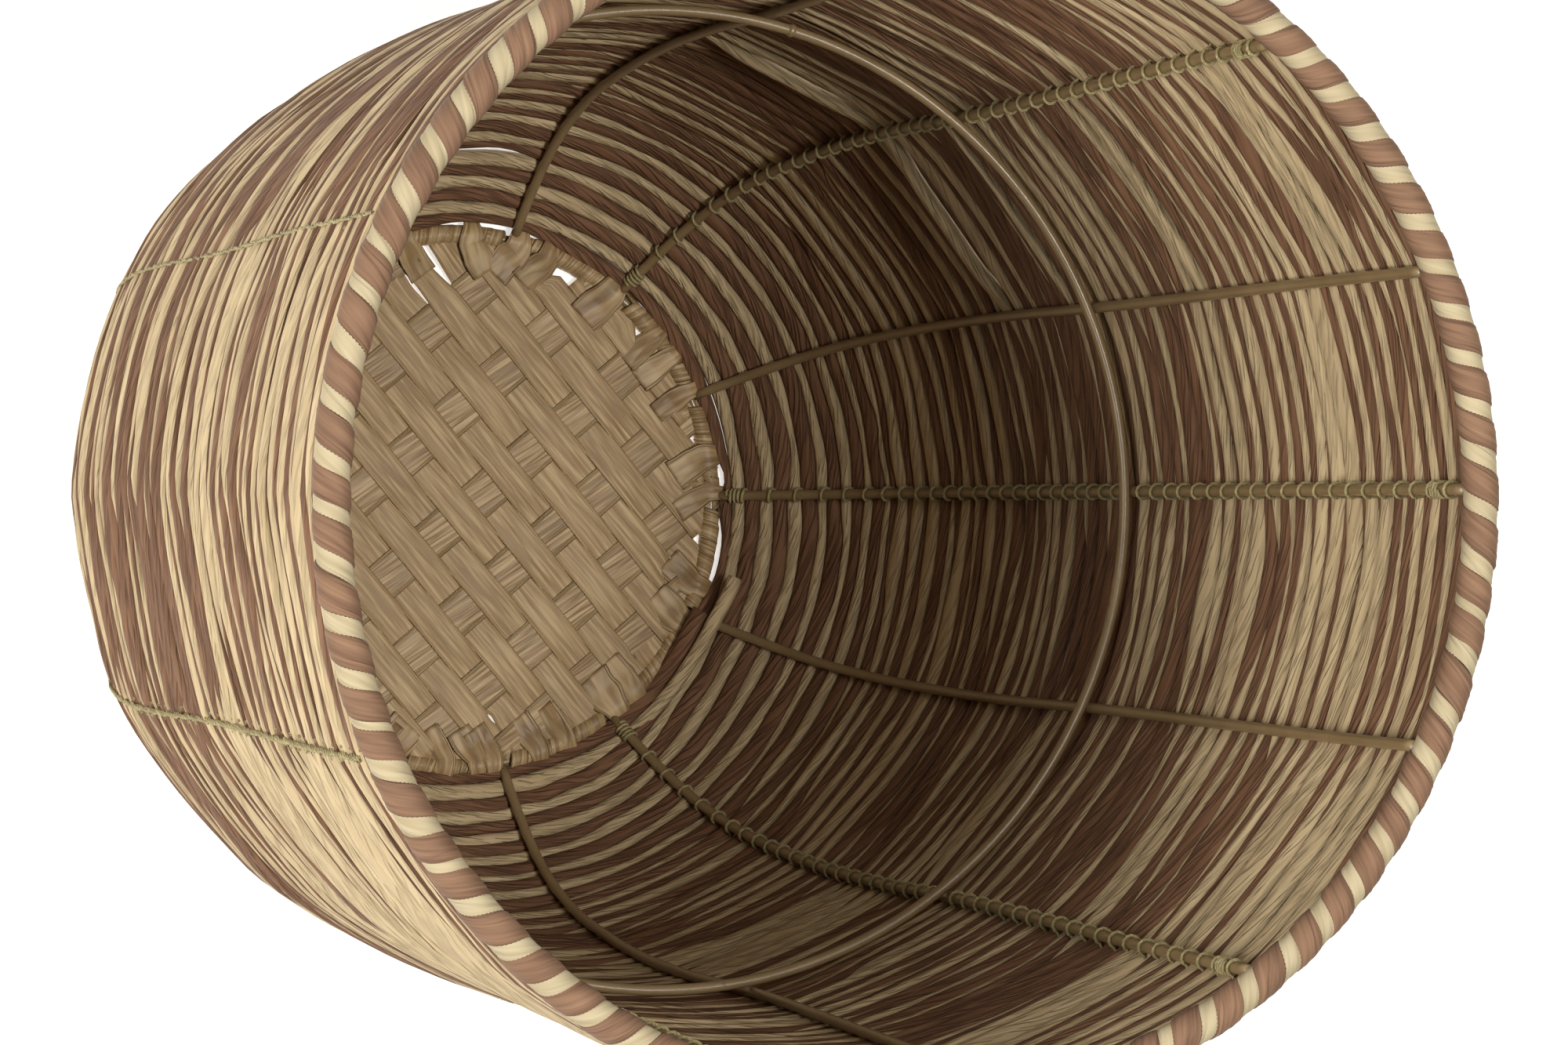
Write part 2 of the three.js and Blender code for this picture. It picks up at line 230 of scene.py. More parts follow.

# %% [markdown]
# How fibre looks
#
# The strands are twisted fibre: fine threads that run slantwise along the strand, soft
# lengthwise creases, and a colour that wanders. A pattern on Object coordinates would run
# straight through the bends, so it reads the strand's own UV map instead, whose first number
# is the length along it in metres and whose second goes once round it. Stretched noise gives
# the threads, and the lines where a second noise crosses its middle value are the creases.
# The creases and the strand's two sides are darkened with painted shade.

# %% Fibre
def fibre(name, shades, girth, lean, streak, crease, depth, rough,
          bend=0.8, contrast=1.0, fine=1.0, crush=1.0, dark=0.35, edge=0.3, sheen=0.04, gloss=0.35):
    """Twisted or flat fibre, girth mm round, from three shades. lean is how far the threads
    slant, in mm round per mm along; streak and crease are the widths of a thread and a
    crease in mm, bend is how far creases swing, and depth is how deep the bumps are in
    metres. fine is the share of single threads, crush that of soft dents, dark that of
    painted shade in the creases and edge that of painted shade on the two sides; contrast
    strengthens the first two."""
    low, middle, high = (tint(*s) for s in shades)
    shadow = tint(*(0.5 * c for c in shades[0]))
    f = Finish(name, Sheen_Weight=sheen, Sheen_Roughness=0.5, Specular_IOR_Level=gloss)
    along, around = f.uv_mm(girth)
    across = around + along * lean
    threads = f.noise(across * (1 / streak), along * 0.035, 0.0, 2.0, 0.55)
    waves = f.noise(along * 0.05, around * 0.2, 2.0, 1.0, 0.5)
    folds = f.noise(across * (1 / crease) + waves * bend, along * 0.02, 4.0, 1.5, 0.5)
    groove = (folds - 0.5).math("ABSOLUTE").math("MULTIPLY", 12.0).math("MINIMUM", 1.0)
    crumple = f.noise(across * 0.24, along * 0.045, 7.0, 2.0, 0.5)
    patches = f.noise(along * 0.014, around * 0.09, 9.0, 2.0, 0.5)
    c = 1.9 * contrast
    tone = f.mix(patches.math("MULTIPLY_ADD", 2.0, -0.6), low, middle)
    tone = f.mix(threads.math("MULTIPLY_ADD", 2 * c * fine, 0.3 - c * fine), tone, high)
    tone = f.mix(crumple.math("MULTIPLY_ADD", c * crush, 0.2 - c * crush / 2), tone, high)
    # Painted shade: creases and the strand's two sides are darkened towards half the darkest shade.
    tone = f.mix((1.0 - groove) * dark, tone, shadow)
    side = (around * (2 * math.pi / girth)).math("COSINE").math("ABSOLUTE") ** 6.0
    tone = f.mix(side * edge, tone, shadow)
    f.feed("Base Color", tone)
    f.feed("Roughness", threads * 0.25 + (rough - 0.12))
    f.bump(threads * (0.3 * fine) + crumple * (0.9 * crush) + groove * 0.5, depth)
    return f.material


print("fibre is ready")

# %% [markdown]
# How the rods look
#
# The rods are painted iron with a satin gloss and the odd scuff. The paint doesn't follow
# their bends, so its cloudiness reads Object coordinates, and a clear coat gives the gloss.

# %% Paint
def paint(name, shade, worn):
    """Satin paint on iron rod, a little uneven, with scuffed spots."""
    f = Finish(name, Coat_Weight=0.45, Coat_Roughness=0.14)
    at = f.node("TexCoord", {}, {}, "Object")
    cloud = f.node("TexNoise", {}, {"Vector": at, "Scale": 60.0, "Detail": 3.0})
    fine = f.node("TexNoise", {}, {"Vector": at, "Scale": 900.0, "Detail": 2.0})
    scuff = f.node("TexNoise", {}, {"Vector": at, "Scale": 240.0, "Detail": 4.0})
    tone = f.mix(cloud.math("MULTIPLY_ADD", 2.0, -0.5), tint(*shade), tint(*worn))
    mask = scuff.math("MULTIPLY_ADD", 9.0, -6.0).math("MAXIMUM", 0.0).math("MINIMUM", 1.0)
    f.feed("Base Color", f.mix(mask * 0.5, tone, tint(*(0.5 * c for c in shade))))
    f.feed("Roughness", cloud * 0.2 + 0.28)
    f.bump(fine + cloud, 0.00008)
    return f.material


OLIVE_BROWN, WORN = (128, 107, 74), (148, 126, 90)
rod = paint("olive_rod_paint", OLIVE_BROWN, WORN)
print(rod.name, len(rod.node_tree.nodes), "nodes")

# %% [markdown]
# The finishes
#
# Each shade is given three times, from dark to light, as colours from 0 to 255. Cream and
# brown are the two strands. On the rim the same strands have copies of their shades, set
# for how the light falls there: the cream copy is darker and greyer, which is painted shade.
# Tan is the flat strip of the floor and its binding, olive the lashing thread. One function
# makes them all, so that they differ only in their numbers.

# %% Finishes
CREAM = ((174, 148, 109), (203, 180, 139), (224, 204, 164))
BROWN = ((92, 63, 45), (122, 87, 64), (150, 113, 85))
# The rim's copies of the strand shades are set for the light there: the cream one is painted shade.
RIM_CREAM_SHADED = ((162, 146, 113), (182, 166, 132), (198, 186, 154))
RIM_BROWN_TUNED_TO_LIGHT = ((101, 72, 54), (127, 95, 71), (154, 121, 95))
# Tan's light shade makes pale threads that are partly the strips' own fibre and partly painted
# highlight.
TAN = ((138, 107, 67), (160, 129, 85), (205, 179, 136))
OLIVE = ((148, 134, 88), (180, 166, 114), (206, 192, 144))

cream = fibre("cream_strand", CREAM, girth=22, lean=0.2, streak=0.8, crease=2.8, depth=0.0009,
              rough=0.78, contrast=0.46, fine=0.55, dark=0.3, edge=0.4, sheen=0.02, gloss=0.25)
brown = fibre("brown_strand", BROWN, girth=22, lean=0.2, streak=0.8, crease=2.6, depth=0.001,
              rough=0.72, contrast=0.55, fine=0.6, dark=0.4, sheen=0.01, gloss=0.18)
# The rim strands wear these copies, the cream one darkened as painted shade.
rim_cream = fibre("cream_rim_strand_shaded", RIM_CREAM_SHADED, girth=20, lean=0.12, streak=0.9, crease=4.2,
                  depth=0.0005, rough=0.8, contrast=0.5, dark=0.08)
rim_brown = fibre("brown_rim_strand_tuned_to_light", RIM_BROWN_TUNED_TO_LIGHT, girth=24, lean=0.12, streak=0.9, crease=4.2,
                  depth=0.0006, rough=0.76, contrast=0.5, dark=0.18)
strip = fibre("long_strip", TAN, girth=27, lean=0.0, streak=0.4, crease=1.3, depth=0.0002,
              rough=0.5, bend=0.05, contrast=0.95, fine=1.3, crush=0.15, dark=0.14, edge=0.0,
              sheen=0.0, gloss=0.3)
cross = fibre("cross_strip", TAN, girth=34, lean=0.03, streak=0.36, crease=0.8, depth=0.0003,
              rough=0.46, bend=0.1, fine=1.2, crush=0.2, dark=0.3, edge=0.0, sheen=0.0)
binding = fibre("tan_binding", TAN, girth=16, lean=0.02, streak=0.8, crease=2.0, depth=0.0005,
                rough=0.46, contrast=1.1, crush=0.6, edge=0.4, sheen=0.0, gloss=0.4)
thread = fibre("olive_thread", OLIVE, girth=4, lean=0.8, streak=0.5, crease=1.2,
               depth=0.0003, rough=0.8)
print(len(bpy.data.materials), "finishes so far")

# %% [markdown]
# The floor that the basket stands on is pale, matt and a little cloudy, and it glows. The
# glow keeps it white where the lamps don't reach.

# %% The pale floor
pale = Finish("pale_floor", Roughness=0.9, Emission_Strength=0.6)
at = pale.node("TexCoord", {}, {}, "Object")
cloud = pale.node("TexNoise", {}, {"Vector": at, "Scale": 3.0, "Detail": 2.0})
pale.feed("Base Color", pale.mix(cloud, (0.80, 0.79, 0.775, 1), (0.84, 0.83, 0.82, 1)))
pale.shader.inputs["Emission Color"].default_value = (1, 0.99, 0.97, 1)
floor.data.materials.append(pale.material)
print(pale.material.name, "is on the floor")

# %% [markdown]
# Rolling a grid round a line
#
# A bevelled curve would make a tube, but a soft strand gets wide and thin by turns, and a
# bevel only grows evenly. So a flat grid is rolled round the line instead: one side of the
# grid runs along the line, the other goes once round it. Its UV map comes from the grid.

# %% The rolling tool
def unit(v):
    return v / np.linalg.norm(v, axis=1, keepdims=True)


def roll(bm, line, out, wide, deep, sides=8, box=2.0, start=0.0, closed=False):
    """Rolls a grid round line (mm). out points square to it to the flat side; wide and deep
    are half sizes, and box squares the section. Returns the length in mm."""
    line, out = np.asarray(line, float), np.asarray(out, float)
    ahead = unit(np.gradient(line, axis=0))
    if closed:
        ahead[0] = ahead[-1] = unit((line[1] - line[-2])[None])[0]
    out = unit(out - ahead * (out * ahead).sum(1, keepdims=True))
    across = np.cross(ahead, out)
    turn = 2 * np.pi * np.arange(sides + 1) / sides
    c, s = np.cos(turn), np.sin(turn)
    c = np.sign(c) * np.abs(c) ** (2 / box)
    s = np.sign(s) * np.abs(s) ** (2 / box)
    c[-1], s[-1] = c[0], s[0]
    wide, deep = (np.broadcast_to(v, len(line)) for v in (wide, deep))
    ring = (line[None] + (c[:, None] * wide)[..., None] * across
            + (s[:, None] * deep)[..., None] * out)
    layers = bm.loops.layers.uv
    uv = layers.get("UVMap") or layers.new("UVMap")
    made = bmesh.ops.create_grid(
        bm, x_segments=len(line) - 1, y_segments=sides, size=1, calc_uvs=True)["verts"]
    for vertex, place in zip(made, ring.reshape(-1, 3) / 1000):
        vertex.co = place
    length = np.linalg.norm(np.diff(line, axis=0), axis=1).sum()
    faces = {face for vertex in made for face in vertex.link_faces}
    for face in faces:
        for corner in face.loops:
            u, v = corner[uv].uv
            corner[uv].uv = (start + u * length / 1000, v)
    bmesh.ops.remove_doubles(bm, verts=made, dist=1e-7)
    return length


trial = bmesh.new()
roll(trial, [[0, 0, 0], [0, 0, 5], [0, 0, 10]], [[1, 0, 0]] * 3, 1.0, 1.0)
print("a rolled grid of 2 by 8 faces has", len(trial.verts), "points")
trial.free()

# %% [markdown]
# Finishing a piece
#
# One bmesh may hold many rolled grids. A finished piece has all its ends closed and its
# faces turned outwards. It rides on the frame's body and hides the frame's nodes that it
# stands for. Its place is in its mesh, as it is in the frame's own.

# %% The finishing tool
LOWEST = 0.0001  # metres over the ground, where soft pieces are pressed flat


def piece(name, bm, material, slot, *nodes):
    """Closes the open ends, turns the faces outwards and puts the piece on the frame."""
    ends = [edge for edge in bm.edges if edge.is_boundary]
    bmesh.ops.holes_fill(bm, edges=ends, sides=0)
    bmesh.ops.recalc_face_normals(bm, faces=bm.faces)
    for vertex in bm.verts:
        vertex.co.z = max(vertex.co.z, LOWEST)
    mesh = bpy.data.meshes.new(name)
    bm.to_mesh(mesh)
    bm.free()
    mesh.polygons.foreach_set("use_smooth", [True] * len(mesh.polygons))
    mesh.materials.append(material)
    made = bpy.data.objects.new(name, mesh)
    bpy.context.scene.collection.objects.link(made)
    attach(made, "root")
    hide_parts(*nodes)
    triangles = sum(len(p.vertices) - 2 for p in mesh.polygons)
    print(name, triangles, "triangles")


print("nothing comes nearer to the ground than", LOWEST * 1000, "mm")

# %% [markdown]
# The ribs' side view
#
# Every rib has the same bend. A list of points would do, but a rod is bent by its slope, so
# the slope is kept, at some distances along the rod, and summed up into radius and height.
# The wall follows the same line, a little further out.

# %% The side line
KNOTS = [0, 37, 73, 110, 146, 194, 267, 362, 458, 564]  # mm along the rib
SLOPES = [27.5, 46.4, 68.7, 80.2, 83, 87, 90.6, 87.8, 87.8, 89.6]  # degrees from level
FOOT_R, FOOT_Z = 110.10, 5.005  # where the rib starts, over the base ring
RIB_LENGTH = 568

marks = np.arange(RIB_LENGTH + 12.0)
steps = np.radians(np.interp(marks + 0.5, KNOTS, SLOPES))
radii = FOOT_R + np.concatenate([[0], np.cumsum(np.cos(steps))[:-1]])
heights = FOOT_Z + np.concatenate([[0], np.cumsum(np.sin(steps))[:-1]])


def side(s, off=0.0):
    """Radius, height and slope at a distance along the ribs, moved outwards by off."""
    a = np.radians(np.interp(s, KNOTS, SLOPES))
    return (np.interp(s, marks, radii) + np.sin(a) * off,
            np.interp(s, marks, heights) - np.cos(a) * off, a)


def on_wall(s, off, angle):
    """Points on the wall and the direction outwards, as rows of x, y, z."""
    r, z, a = side(s, off)
    point = np.stack([r * np.cos(angle), r * np.sin(angle), z + 0 * angle], 1)
    out = np.stack([np.sin(a) * np.cos(angle), np.sin(a) * np.sin(angle),
                    -np.cos(a) + 0 * angle], 1)
    return point, out


print("side line ends at", side(RIB_LENGTH)[:2])

# %% [markdown]
# The rod frame
#
# Ribs, rings and hoop are one gauge of round rod, bent cold and welded. A curve with a round
# bevel would make them too, but the rolling tool already follows the side line. The CAD
# rods have six sides; here each has sixteen, so that its gloss runs in one thin line. The
# fourteen ribs are set out one by one, each a degree or two from its place.

# %% Ribs
ROD_R, ROD_SIDES = 2.0, 16
RIB_TRIM = [2.1, -1.4, 0.8, 1.5, 0, 0, 0.2, 0, -0.7, 0, 0, -2.0, -1.1, 1.6]  # degrees
RIBS = len(RIB_TRIM)
RIB_ANGLE = np.radians([360 / RIBS * k + trim for k, trim in enumerate(RIB_TRIM)])

for k, angle in enumerate(RIB_ANGLE):
    bm = bmesh.new()
    s = RIB_LENGTH * np.linspace(0, 1, 80)
    line, out = on_wall(s, 0.0, np.full_like(s, angle))
    roll(bm, line, out, ROD_R, ROD_R, ROD_SIDES, start=k * 0.7)
    piece(f"rib_rod_{k + 1:02d}", bm, rod, "rod", f"rib_{k + 1:02d}")

# %% [markdown]
# The base ring carries the ribs' feet and the top ring hides in the rim. The hoop lies
# inside the ribs, half way up, and shows its butt weld, a small bead all round the rod. The
# bead's two ends lie inside the rod, so no edge shows.

# %% Rings, hoop and weld
RING_R, RING_Z = 108.5, 3.1
TOP_R, TOP_Z = 190.45, 552.0
HOOP_ALONG, HOOP_IN = 307.0, -4.3  # mm along the ribs, and out from their middle line
WELD_ANGLE, WELD_HALF = math.radians(76.0), 1.6
RING_STEPS = 180


def hoop(bm, radius, height):
    """A rod bent to a full circle."""
    turn = 2 * np.pi * np.arange(RING_STEPS + 1) / RING_STEPS
    out = np.stack([np.cos(turn), np.sin(turn), 0 * turn], 1)
    line = out * radius + [0, 0, height]
    line[-1] = line[0]
    roll(bm, line, out, ROD_R, ROD_R, ROD_SIDES, closed=True)


def weld(bm, radius, height):
    """The bead round the hoop's joint."""
    turn = WELD_ANGLE + np.linspace(-WELD_HALF, WELD_HALF, 9) / radius
    out = np.stack([np.cos(turn), np.sin(turn), 0 * turn], 1)
    bulge = 1.7 + 0.85 * np.sin(np.linspace(0, np.pi, 9)) ** 0.7
    roll(bm, out * radius + [0, 0, height], out, bulge, bulge, ROD_SIDES)


HOOP_R, HOOP_Z, _ = side(HOOP_ALONG, HOOP_IN)
for name, radius, height, node in (
    ("base_ring_rod", RING_R, RING_Z, "base_ring"),
    ("mid_hoop_rod", HOOP_R, HOOP_Z, "mid_hoop"),
    ("top_ring_rod", TOP_R, TOP_Z, "top_ring"),
):
    bm = bmesh.new()
    hoop(bm, radius, height)
    if node == "mid_hoop":
        weld(bm, radius, height)
    piece(name, bm, rod, "rod", node)

# %% [markdown]
# How the winding wanders
#
# By hand the rows never lie even. Between the tied ribs they drift, and each strand is
# pressed wide in one place and thin in another. That takes soft steps and soft hills, and
# two kinds of smooth random numbers, always from the same seed: one over the wall's surface,
# one along a single strand.

# %% Soft steps and hills
def ease(t):
    """From 0 to 1 with a soft start and end."""
    return t * t * (3 - 2 * t)


def ramp(x, start, length):
    """0 before start, 1 past start + length, smooth between."""
    return ease(np.clip((x - start) / length, 0, 1))


def apart(angle, degrees):
    """How far round an angle (radians) is from a place (degrees): from -180 to 180."""
    return (np.degrees(angle) - degrees + 180) % 360 - 180


def hill(x, reach, power):
    """1 where x is 0, falling off past reach, the more steeply the higher the power."""
    return np.exp(-((x / reach) ** power))


print("a hill at half its reach and at its reach:", hill(np.array([0.5, 1]), 1, 4).round(2))

# %% [markdown]
# A random number on every corner of a grid, or on every so many steps of a strand, is
# joined to the next one by a soft step. Blender's own noise would do for one strand, but
# here neighbours have to share the same numbers.

# %% Smooth random numbers
def field(turns, height, around, tall, seed):
    """From -1 to 1 over the wall: around cells in a turn, each cell tall mm high."""
    knots = np.random.default_rng(seed).uniform(-1, 1, (around, 99))
    x, y = (turns % 1) * around, np.maximum(height, 0) / tall
    i, j = x.astype(int), y.astype(int)
    fx, fy = ease(x - i), ease(y - j)
    a, b = i % around, (i + 1) % around
    low = knots[a, j] * (1 - fx) + knots[b, j] * fx
    high = knots[a, j + 1] * (1 - fx) + knots[b, j + 1] * fx
    return low * (1 - fy) + high * fy


def wander(count, spacing, seed):
    """From -1 to 1 along a strand, a new value every so many steps."""
    knots = np.random.default_rng(seed).uniform(-1, 1, int(count / spacing) + 3)
    x = np.arange(count) / spacing
    i = x.astype(int)
    f = ease(x - i)
    return knots[i] * (1 - f) + knots[i + 1] * f


print("along a strand, for instance:", wander(6, 2, 5).round(2))

# %% [markdown]
# The wall's two strands
#
# A brown and a cream strand lie side by side and climb together, 47 times round. What is
# worked out is the border between neighbours: a strand is as wide as its two borders leave
# it. At the foot each row runs level and climbs in one place, higher up it climbs evenly.
# Between two ribs the strands run straighter than a circle, so the wall is a little flat.
#
# First come the places where one strand swells over its neighbours. Each row holds the angle,
# the distance up the rib, the reach in degrees and in mm, and how strongly it swells. Brown
# gains where the last number is positive, cream where it is negative.

# %% Where the strands swell
SWELLS = [
    (-38, 448, 12, 15, 1), (-38, 389, 12, 10, 0.8), (-38, 358, 12, 13, 0.9),
    (-38, 279, 12, 10, 0.8), (-11, 344, 11, 10, 0.7), (-11, 280, 12, 14, 0.8),
    (-11, 244, 12, 15, 0.8), (13, 347, 10, 9, 0.8), (13, 243, 10, 16, 0.8),
    (13, 275, 10, 9, 0.6), (38, 526, 8, 10, 0.9), (38, 479, 12, 8, 0.7),
    (38, 397, 12, 9, 0.8), (38, 349, 12, 10, 0.8), (38, 277, 12, 9, 0.8),
    (38, 235, 12, 7, 0.6), (65, 440, 12, 20, 1), (65, 392, 12, 18, 1),
    (65, 274, 12, 20, 0.9), (-65, 425, 12, 34, 0.9), (-38, 175, 12, 14, 0.8),
    (65, 170, 12, 26, 0.8), (-38, 540, 13, 20, -0.8), (-38, 494, 12, 8, -0.8),
    (-38, 410, 12, 8, -0.7), (-38, 258, 12, 8, -0.6), (-11, 494, 11, 8, -0.6),
    (-10, 396, 9, 9, -0.9), (-8, 372, 9, 9, -0.8), (-11, 324, 12, 8, -0.7),
    (13, 379, 11, 8, -0.7), (13, 469, 11, 9, -0.5), (38, 500, 13, 12, -1),
    (38, 383, 13, 7, -0.8), (38, 331, 13, 9, -0.8), (38, 297, 13, 9, -0.8),
    (38, 216, 12, 9, -0.9), (65, 214, 11, 10, -1), (65, 300, 12, 9, -0.8),
    (-65, 478, 11, 20, -0.9), (-65, 196, 11, 24, -0.7), (192, 277, 12, 20, 1),
    (192, 214, 12, 10, 0.8), (218, 206, 13, 14, 0.9), (166, 436, 10, 15, 0.9),
    (192, 420, 12, 17, 0.9), (140, 490, 12, 34, 1), (140, 350, 12, 16, 0.8),
    (140, 300, 12, 12, 0.8), (192, 335, 12, 10, 0.8), (140, 200, 12, 16, 0.8),
    (192, 548, 14, 7, 0.8), (166, 485, 12, 14, -0.8), (166, 376, 13, 22, -0.9),
    (166, 314, 13, 9, -0.8), (166, 262, 12, 9, -0.9), (192, 382, 12, 13, -0.9),
    (225, 460, 22, 44, -0.9), (222, 360, 20, 28, -0.9), (140, 400, 10, 12, -0.8),
]
SWELL = 2.1  # how strongly all of them work
print(len(SWELLS), "swells")

# %% [markdown]
# Then comes the line that the pair follows: one number per step, 168 steps to a turn. For
# every step the level says how far up the rib it is, and the rest says where on the wall it
# lies: in which gap between two ribs, how free it is there to wander, and how much of the
# outside it belongs to, which is pulled less evenly than the inside.

# %% The line of the winding
STEPS = 168
TURNS = 48
CLIMBED = 46.5  # turns from the first row to the last
START, END = -0.4, 562.6  # mm up the rib
PITCH = (END - START) / CLIMBED
START_ANGLE = math.radians(-23)
CLIMBING = 0.13  # at the foot a row climbs within this share of its turn
# How much flatter than a circle the wall is in each gap between two ribs, in mm.
FLAT = [1.2, 2.8, 2.6, 2.2, 0.1, -1.0, 0.8, 2.4, 2.0, 1.4, 2.0, 2.6, 2.9, 1.4]

g = np.arange(TURNS * STEPS)
turn, part = g // STEPS, (g % STEPS) / STEPS
# 0 at both ends, where a row climbs in one place, and 1 where it climbs evenly.
spread = np.clip((g / STEPS - 1) / 7, 0, 1) * np.clip((CLIMBED - g / STEPS) / 6, 0, 1)
early = ramp(part, 0, CLIMBING) - 1
climb = np.where(turn > 0, turn + (1 - spread) * early + spread * (part - 1), 0)
level = START + PITCH * climb
angle = START_ANGLE - 2 * np.pi * g / STEPS
turns = angle / (2 * np.pi)

ribs = np.append(RIB_ANGLE, RIB_ANGLE[0] + 2 * np.pi)
cell = (np.searchsorted(ribs, angle % (2 * np.pi), "right") - 1) % RIBS
across_gap = (angle - ribs[cell]) % (2 * np.pi) / (ribs[cell + 1] - ribs[cell])
free = ramp(np.minimum(across_gap, 1 - across_gap), 0, 0.22)  # 0 at a rib, 1 between two
flat = np.array(FLAT)[cell] * 0.9 * np.sin(np.pi * across_gap)
# Small in the first and last rows, which keep their place, and 1 in the others.
loose = ease(np.clip((climb - 1) / 6, 0.04, 1)) * ease(np.clip((47 - climb) / 2.5, 0.1, 1))
outside = hill(apart(angle, 180), 62, 4)  # 1 where the wall shows its outside
facing = hill(apart(angle, 12), 78, 6)  # 1 where it faces the camera from inside
print("pitch of a pair", round(PITCH, 2), "mm over", CLIMBED, "turns")

# %% [markdown]
# Now the borders. The share is brown's part of a pair's width. It is pulled up and down by
# the random numbers and by the swells, and near the foot the borders twist quickly, as the
# strands there are the most bent. The upper wall's inside is the calmest.

# %% How wide each strand is
BROWN_SHARE = 0.53

# Each row has a number of its own in each gap between two ribs.
own = np.random.default_rng(3).uniform(-1, 1, (RIBS, TURNS))[cell, turn]
calm = 1 - 0.5 * np.clip((level - 410) / 60, 0, 1) * (1 - outside)
pull = calm * (0.5 * own * free + (0.55 - 0.3 * outside) * field(turns, level, 14, 24, 3)
               + (0.45 - 0.2 * outside) * field(turns, level, 28, 13, 5)
               + (0.25 + 0.5 * outside) * wander(len(g), 7, 11))
for where, height, reach, tall, strength in SWELLS:
    near = hill(apart(angle, where), reach, 4) * hill(level - height, tall, 2)
    pull += SWELL * strength * near
share = (BROWN_SHARE + 0.09 * facing * hill(level - 60, 60, 2)
         - 0.1 * (1 - facing) * (1 - outside) * hill(level - 40, 110, 2)
         - 0.12 * np.clip((level - 400) / 80, 0, 1))
share = np.clip(share + 0.45 * np.tanh(1.3 * pull) * (0.12 + 0.88 * loose), 0.03, 0.97)
drift = (3.0 * field(turns, level, 14, 26, 7) * free + 1.4 * wander(len(g), 11, 13)
         + outside * (2.5 * field(turns, level, 28, 18, 9) + 1.8 * wander(len(g), 6, 15)))
twist = hill(level, 240, 2) * ease(np.clip(climb, 0, 1))
lower = (level + drift * loose + 0.3 * wander(len(g), 7, 17)
         + 0.9 * wander(len(g), 2.2, 27) * twist)
border = (lower + PITCH * share + 0.5 * wander(len(g), 6, 19) * (0.3 + loose)
          + 0.4 * wander(len(g), 2.5, 23) * loose + 1.1 * wander(len(g), 2.2, 29) * twist)
print("brown has", round(100 * share.mean()), "% of the wall")

# %% [markdown]
# The numbers are now laid out as rows, brown and cream by turns, and from the foot up no
# border may lie below the one under it. The first row is lifted off the base ring in a few
# places. The second turn goes behind the starts, so there it may come down past them.

# %% Borders between the strands
THINNEST = 0.35  # mm from one border to the next
SECOND_LOW = -9.0  # how low the second turn may come where it passes the starts
# Openings under the first row: angle, reach in degrees, and how high in mm.
OPENINGS = [(-11, 9, 4.0), (6, 4, 4.2), (47, 6, 2.4), (84, 14, 3.4)]
rows = np.stack([lower.reshape(TURNS, STEPS), border.reshape(TURNS, STEPS)], 1)
rows = rows.reshape(2 * TURNS, STEPS)
for where, reach, tall in OPENINGS:
    rows[0] += tall * hill(apart(angle[:STEPS], where), reach, 4)
passing = np.arange(STEPS) < CLIMBING * STEPS  # behind the starts
for i in range(1, 2 * TURNS):
    over = np.where((i == 2) & passing, SECOND_LOW, rows[i - 1])
    rows[i] = np.maximum(rows[i], over + THINNEST)
rows = np.minimum(rows, END)
lower, border = rows[0::2].ravel(), rows[1::2].ravel()
upper = np.concatenate([lower[STEPS:], np.full(STEPS, END)])
upper[:STEPS] = np.where(passing, START + PITCH, upper[:STEPS])
print("strand widths", np.percentile(border - lower, [1, 50, 99]).round(1), "mm")

# %% [markdown]
# Rolling the strands
#
# A squeezed strand lies back from the face and a free one swells, so depth follows width.
# Neighbours are pressed a little into each other, as soft fibre is, or light would show
# between them. Only near the foot a few rows part and let it through.

# %% Width and depth of a strand
OVERLAP = 0.42  # mm that a strand presses into its neighbour
FULL = 3.2  # half the depth of a strand that is not squeezed, in mm


def half_sizes(gap, low, bend, seed):
    """Half the width and half the depth of a strand whose borders are gap mm apart."""
    foot = np.clip(1 - low / 110, 0, 1)
    open_up = 0.8 * np.clip(field(bend / (2 * np.pi), low, 17, 12, seed) - 0.4, 0, 1) * foot
    wide = np.maximum(gap / 2 + OVERLAP * (1 - np.exp(-gap)) - open_up, 0.3)
    deep = FULL * (1 - np.exp(-gap / 2.6)) * (1 - 0.035 * np.maximum(gap - 6, 0)) + 0.1
    return wide, deep


six = np.array([6.0])
print("a strand 6 mm wide is", 2 * half_sizes(six, six, six, 1)[1].round(1), "mm deep")

# %% [markdown]
# How far a strand lies from the ribs' middle line also varies. Thin strands are pushed
# outwards, the side that is seen from outside is the less even, the first rows are tucked in
# over the ribs' feet, and a few loose loops of cream stand inwards and catch the light.

# %% Distance of a strand from the ribs
WALL_OFF = 5.0  # from the ribs' middle line to a strand's, in mm
# Loops that stand inwards: angle, distance up the rib, reach in degrees and in mm, how far.
PUSHED = [(38, 215, 12, 8, 5.6), (65, 212, 11, 8, 4.0), (38, 272, 12, 8, 2.5),
          (-38, 100, 9, 6, 2)]


def stands_out(angle, s):
    """The basket is not quite round: here its wall lies a little outside the ribs."""
    return (1.7 * hill(apart(angle, 156), 16, 2) * ramp(s, 60, 80)
            * ease(np.clip((540 - s) / 120, 0, 1)))


def distance_out(gap, low, bend, pressed, uneven, seed):
    """How far a strand lies outside the ribs. pressed is how flat the wall is there."""
    off = WALL_OFF + np.exp(-gap / 2) + 0.5 * wander(len(gap), 12, seed + 1) - pressed
    off = off + hill(apart(bend, 180), 62, 4) * uneven
    return off - 3.0 * np.exp(-np.maximum(low, 0) / 6) + stands_out(bend, low)


print("the wall stands out by up to", round(stands_out(math.radians(156), 300.0), 1), "mm")

# %% [markdown]
# With that, one function rolls a whole strand, over 50 m long, from its start at the foot
# to its end under the rim. The two starts lie inside the frame, over the ribs' feet. In the
# fourth row brown stands off from the strand under it and leaves a slit.

# %% Winding the strands
SLIT = (89, 36, 8, 4, 3.2)  # its numbers mean what they do for the loops above


